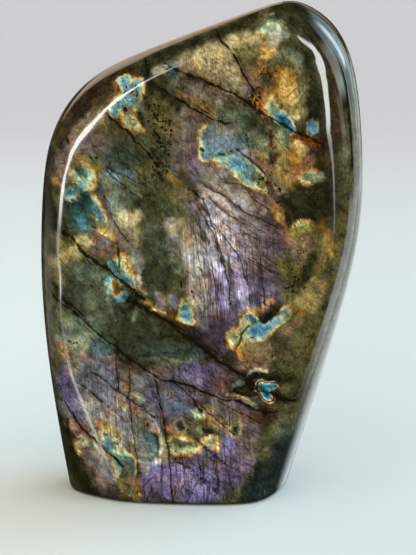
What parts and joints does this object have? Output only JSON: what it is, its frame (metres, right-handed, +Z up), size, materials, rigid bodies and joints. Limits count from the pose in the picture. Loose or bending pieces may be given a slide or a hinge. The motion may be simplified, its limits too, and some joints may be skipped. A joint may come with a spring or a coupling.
{
  "type": "polished labradorite freeform",
  "caption": "Polished freeform of labradorite with a slanted top and a broad flashing face, standing on a flat cut base.",
  "frame": {"origin": "middle of the stone's bounding box at the level of the flat base", "axes": "+Z up from the base, -Y out of the broad polished face, +X to that face's right as it is looked at"},
  "size_m": [0.0906, 0.0438, 0.1395],
  "materials": {
    "polished_labradorite": "high gloss polish over dark olive feldspar with violet, blue, cyan, gold and orange flash and dark cracks"
  },
  "bodies": {
    "root": {"stone": "polished_labradorite"}
  },
  "joints": []
}
